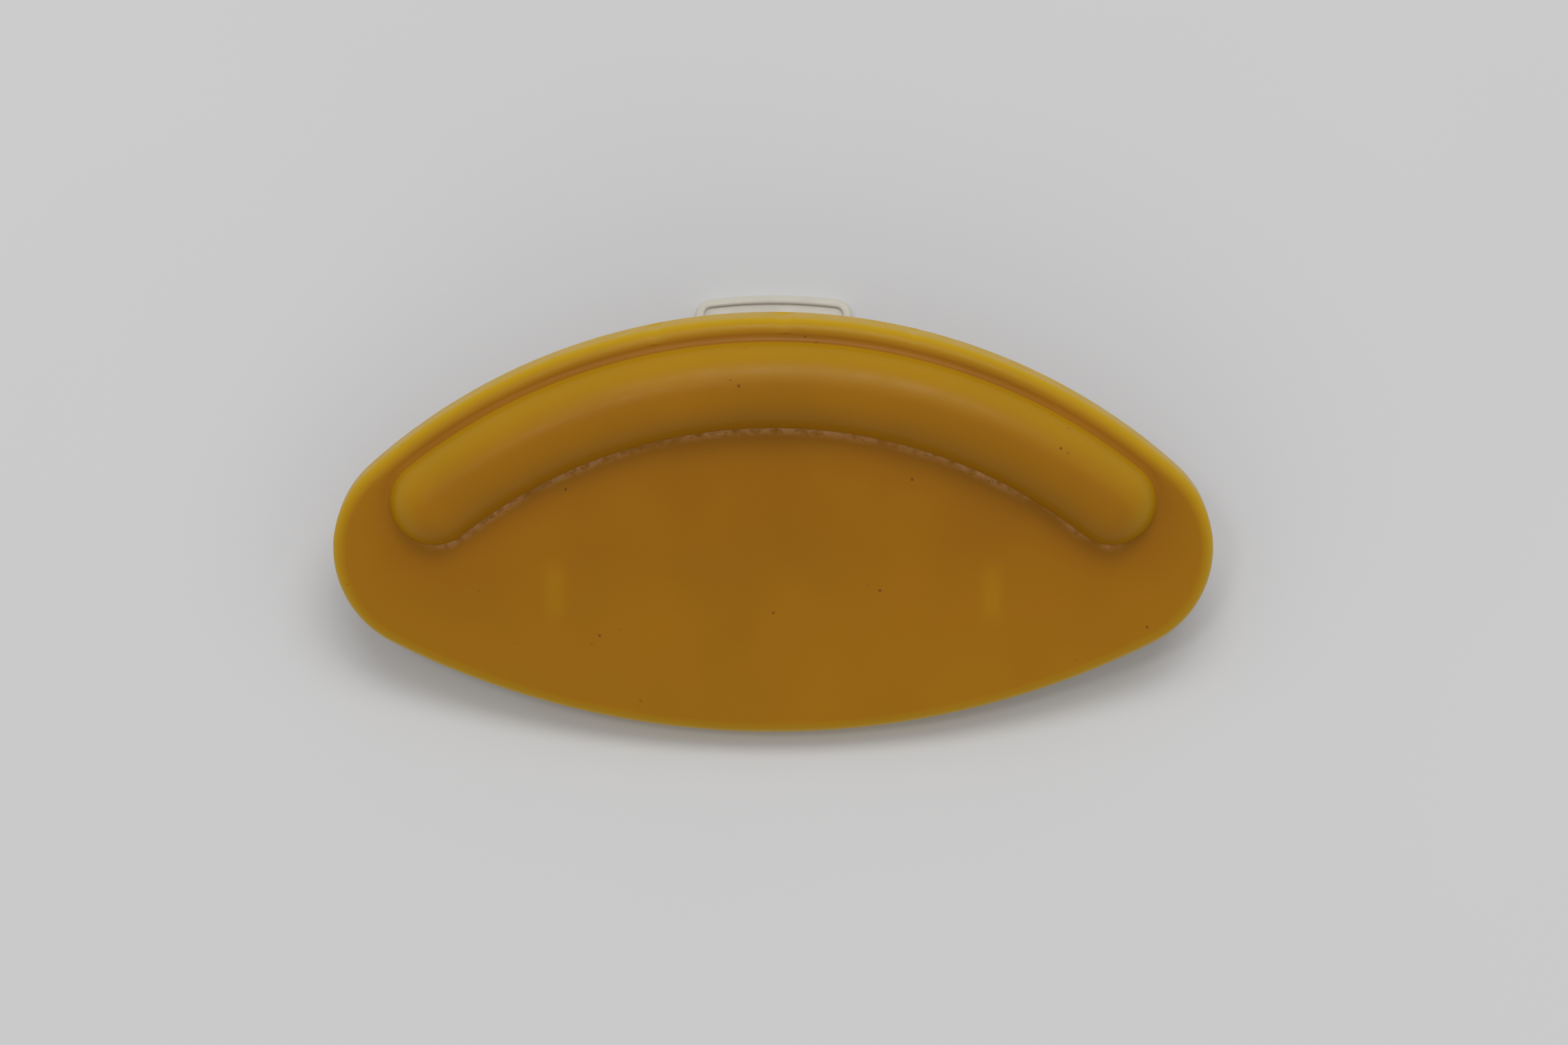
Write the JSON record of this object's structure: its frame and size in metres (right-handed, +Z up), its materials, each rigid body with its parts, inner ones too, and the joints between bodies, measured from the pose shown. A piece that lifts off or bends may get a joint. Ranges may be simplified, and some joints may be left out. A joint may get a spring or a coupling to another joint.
{
  "type": "lip-shaped spring clip",
  "caption": "Lip-shaped hand-squeezed spring clip: tray-like front jaw with an arched thumb ridge, and a sprung lever with a finger tab and padded rear jaw.",
  "frame": {"origin": "on the ground, under the middle of the clip's box as it lies on the lever's flat back", "axes": "+X along the clip's length, +Y from the jaws' mouth towards the finger tab, +Z up, out of the surface it lies on"},
  "size_m": [0.13, 0.0696, 0.0379],
  "materials": {
    "yellow_plastic": "satin gloss moulded",
    "natural_plastic": "unpigmented, slightly translucent",
    "spool_plastic": "satin",
    "pad_rubber": "matte",
    "pin_steel": "drawn and zinc plated",
    "spring_steel": "bright drawn wire"
  },
  "bodies": {
    "front": {"front_jaw": "yellow_plastic", "front_pad": "pad_rubber", "hinge_pin": "pin_steel", "pin_retainer": "spring_steel", "spring_spool": "spool_plastic", "spring_left": "spring_steel", "spring_right": "spring_steel"},
    "rear": {"rear_jaw": "natural_plastic", "rear_pad": "pad_rubber"}
  },
  "joints": [
    {"name": "lever_hinge", "type": "hinge", "parent": "front", "child": "rear", "pos_m": [0, -0.01127, 0.0084], "axis": [1, 0, 0], "range_deg": [0, 40], "stiffness_Nm_per_rad": 0.75, "springref_deg": -30.37, "deforming": ["spring_left", "spring_right"]}
  ]
}
